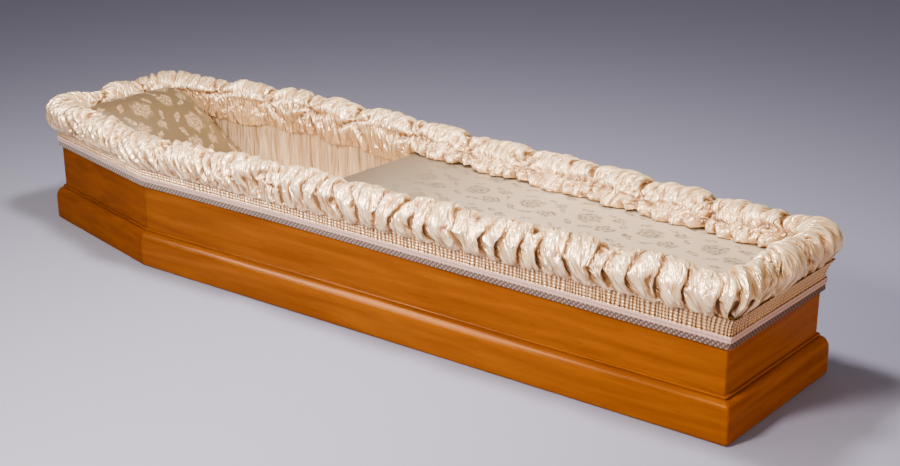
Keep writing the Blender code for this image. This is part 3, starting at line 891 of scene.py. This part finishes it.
def pad(name, low_x, high_x, out, low_z, high_z, rounding, step, top):
    """A flat pad that fills the plan between two cross lines: top(x, y, edge) gives its upper face."""
    columns = int(round((high_x - low_x) / step)) + 1
    count = int(round(2 * half_width(np.array([PLAN[1][0]]), out)[0] / step)) + 1
    x = np.linspace(low_x, high_x, columns)
    across = np.linspace(-1, 1, count)
    width = half_width(x, out)
    X = np.broadcast_to(x[:, None], (columns, count)).copy()
    Y = width[:, None] * across[None]
    edge = np.minimum(np.minimum(X - low_x, high_x - X), width[:, None] - np.abs(Y))
    fall = rounding * (1 - np.sqrt(np.clip(1 - (1 - np.clip(edge / rounding, 0, 1)) ** 2, 0, 1)))
    upper = np.stack([X, Y, high_z - fall + top(X, Y, edge)], -1)
    lower = np.stack([X, Y, low_z + fall * 0.6], -1)
    loop = np.concatenate([upper, lower[:, ::-1], upper[:, :1]], 1)
    obj = skin(name, loop, closed=False)
    work = bmesh.new()
    work.from_mesh(obj.data)
    bmesh.ops.remove_doubles(work, verts=work.verts, dist=0.00005)
    bmesh.ops.holes_fill(work, edges=[e for e in work.edges if e.is_boundary], sides=0)
    bmesh.ops.recalc_face_normals(work, faces=work.faces)
    work.to_mesh(obj.data)
    work.free()
    obj.data.shade_smooth()
    return obj


def build_coverlet():
    """The quilted brocade over the foot two thirds, almost flat."""
    def top(x, y, edge):
        soft = 0.0012 * np.sin(5.1 * x + 2.0) * np.cos(9.0 * y + 0.6) + 0.0006 * np.sin(17 * x + 11 * y)
        return soft * np.clip(edge / 0.03, 0, 1)
    quilt = pad("coverlet_quilt", COVERLET_LOW.x, COVERLET_HIGH.x, COVERLET_OUT,
                COVERLET_LOW.z, COVERLET_HIGH.z, 0.005, 0.008, top)
    finish_piece(quilt, COVERLET_BROCADE, replaces="coverlet")


def build_mattress():
    """The satin pad on the bottom board, with shallow cross channels."""
    def top(x, y, edge):
        channel = np.abs(np.sin(np.pi * (x + 0.02) / 0.16))
        return (0.004 * channel ** 0.6 - 0.004) * np.clip(edge / 0.02, 0, 1)
    mattress = pad("mattress_pad", MATTRESS_LOW.x, MATTRESS_HIGH.x, MATTRESS_HIGH.x - PLAN[2][0] - 0.008,
                   MATTRESS_LOW.z, MATTRESS_HIGH.z, 0.007, 0.010, top)
    lay_out(mattress, np.full(len(mattress.data.vertices), 0.35), 0.0, 0.0)
    finish_piece(mattress, SATIN, replaces="mattress")


def taken_from(obj):
    """Applies what the object's modifiers make."""
    mesh = bpy.data.meshes.new_from_object(obj.evaluated_get(bpy.context.evaluated_depsgraph_get()))
    obj.modifiers.clear()
    obj.data = mesh
    return mesh


def build_pillow():
    """The plump brocade pillow, from the shape of its plain solid."""
    pillow = bpy.data.objects.new("pillow_case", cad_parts["pillow"].data.copy())
    bpy.context.scene.collection.objects.link(pillow)
    remesh = pillow.modifiers.new("Remesh", "REMESH")
    remesh.mode = "VOXEL"
    remesh.voxel_size = 0.007
    mesh = taken_from(pillow)
    start = coordinates(mesh)
    centre = start.mean(0)
    set_coordinates(mesh, centre + (start - centre) * 0.985)
    settled = settle(pillow, 0.03, np.zeros(len(start)), 5.0, 0.005)
    settled[:, 2] = np.maximum(settled[:, 2], PILLOW_FOOT_Z)
    set_coordinates(mesh, settled)
    smooth = pillow.modifiers.new("Subdivision", "SUBSURF")
    smooth.levels = smooth.render_levels = 1
    taken_from(pillow).shade_smooth()
    finish_piece(pillow, PILLOW_BROCADE, replaces="pillow")


# Camera, floor and light

CAMERA_AZIMUTH = math.radians(39.528)
CAMERA_ELEVATION = math.radians(19.908)
CAMERA_TARGET = Vector((0.178, 0.0, 0.1719))
CAMERA_DISTANCE = 3.2435
CAMERA_LENS = 58.32


def place_camera():
    """The camera, solved from the corners in the photograph."""
    data = bpy.data.cameras.new("camera")
    data.lens = CAMERA_LENS
    data.sensor_width = 36
    camera = bpy.data.objects.new("camera", data)
    back = Vector((math.sin(CAMERA_AZIMUTH) * math.cos(CAMERA_ELEVATION),
                   -math.cos(CAMERA_AZIMUTH) * math.cos(CAMERA_ELEVATION), math.sin(CAMERA_ELEVATION)))
    camera.location = CAMERA_TARGET + back * CAMERA_DISTANCE
    camera.rotation_euler = back.to_track_quat("Z", "Y").to_euler()
    bpy.context.scene.collection.objects.link(camera)
    bpy.context.scene.camera = camera


def area_light(name, place, aim, size, power, colour):
    """A lamp with a lit rectangle of this size, turned to what it aims at."""
    data = bpy.data.lights.new(name, "AREA")
    data.shape = "RECTANGLE"
    data.size, data.size_y = size
    data.energy = power
    data.color = linear(colour)[:3]
    light = bpy.data.objects.new(name, data)
    light.location = place
    light.rotation_euler = (Vector(place) - Vector(aim)).to_track_quat("Z", "Y").to_euler()
    bpy.context.scene.collection.objects.link(light)
    return light


def set_stage():
    """A plain floor, a dim even room and four lamps."""
    bpy.ops.mesh.primitive_plane_add(size=14)
    floor = bpy.context.object
    floor.name = "floor"
    floor.data.materials.append(shader_of("pale_matt_floor", Base_Color=linear("#8286A4"), Roughness=0.85)[0])
    world = bpy.data.worlds.new("studio")
    world.use_nodes = True
    world.node_tree.nodes["Background"].inputs["Color"].default_value = linear("#E6DDD6")
    world.node_tree.nodes["Background"].inputs["Strength"].default_value = 0.35
    bpy.context.scene.world = world
    area_light("key", (0.5, -1.6, 1.3), (0.2, 0, 0.2), (0.35, 0.35), 80, "#FFEBD6")
    area_light("top", (0.1, -0.15, 1.8), (0.0, 0.15, 0.2), (0.35, 0.3), 75, "#FFF1E2")
    area_light("fill", (2.4, -0.4, 0.6), (1.0, 0, 0.15), (0.6, 0.6), 12.5, "#FFD0A0")
    # Seen only as a gleam on the lacquer and the satin
    strip = area_light("strip", (-1.05, -1.9, 1.3), (0.4, -0.2, 0.1), (1.3, 1.5), 480, "#FFF4E8")
    strip.visible_diffuse = False


place_camera()
set_stage()
dress_carcase()
build_shirring()
build_lace()
build_lining()
build_mattress()
build_pillow()
build_coverlet()
build_ruffle()
